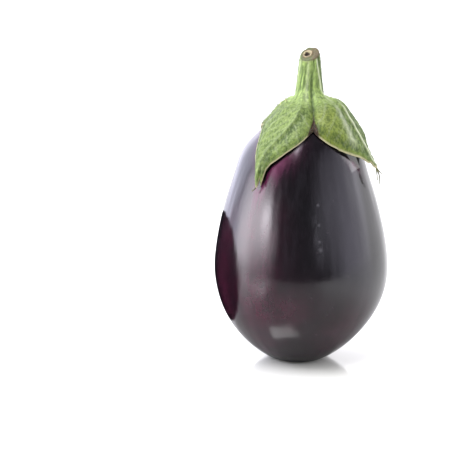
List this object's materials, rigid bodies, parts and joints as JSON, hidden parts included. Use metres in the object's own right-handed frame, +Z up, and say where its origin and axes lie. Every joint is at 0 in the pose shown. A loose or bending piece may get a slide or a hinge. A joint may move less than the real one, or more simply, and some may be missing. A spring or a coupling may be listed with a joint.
{
  "type": "eggplant",
  "caption": "A fresh globe eggplant with glossy, near-black purple skin, a green calyx of pointed sepals and a cut stem, standing upright on its blossom end.",
  "frame": {"origin": "on the ground, below the middle of the fruit's belly, 2 mm to the right of the middle of the flat spot that it stands on", "axes": "+Z up along the fruit to the stem, -Y to the front, where two broad sepals meet, +X to the right"},
  "size_m": [0.1039, 0.1039, 0.1868],
  "materials": {
    "skin": "smooth waxy skin, near-black purple, with a magenta tinge close to the calyx",
    "green": "fresh green, faintly downy and veined, with pale margins, brown dry threads and a cream cut end"
  },
  "bodies": {
    "root": {"fruit": "skin", "calyx_and_stem": "green"}
  },
  "joints": []
}
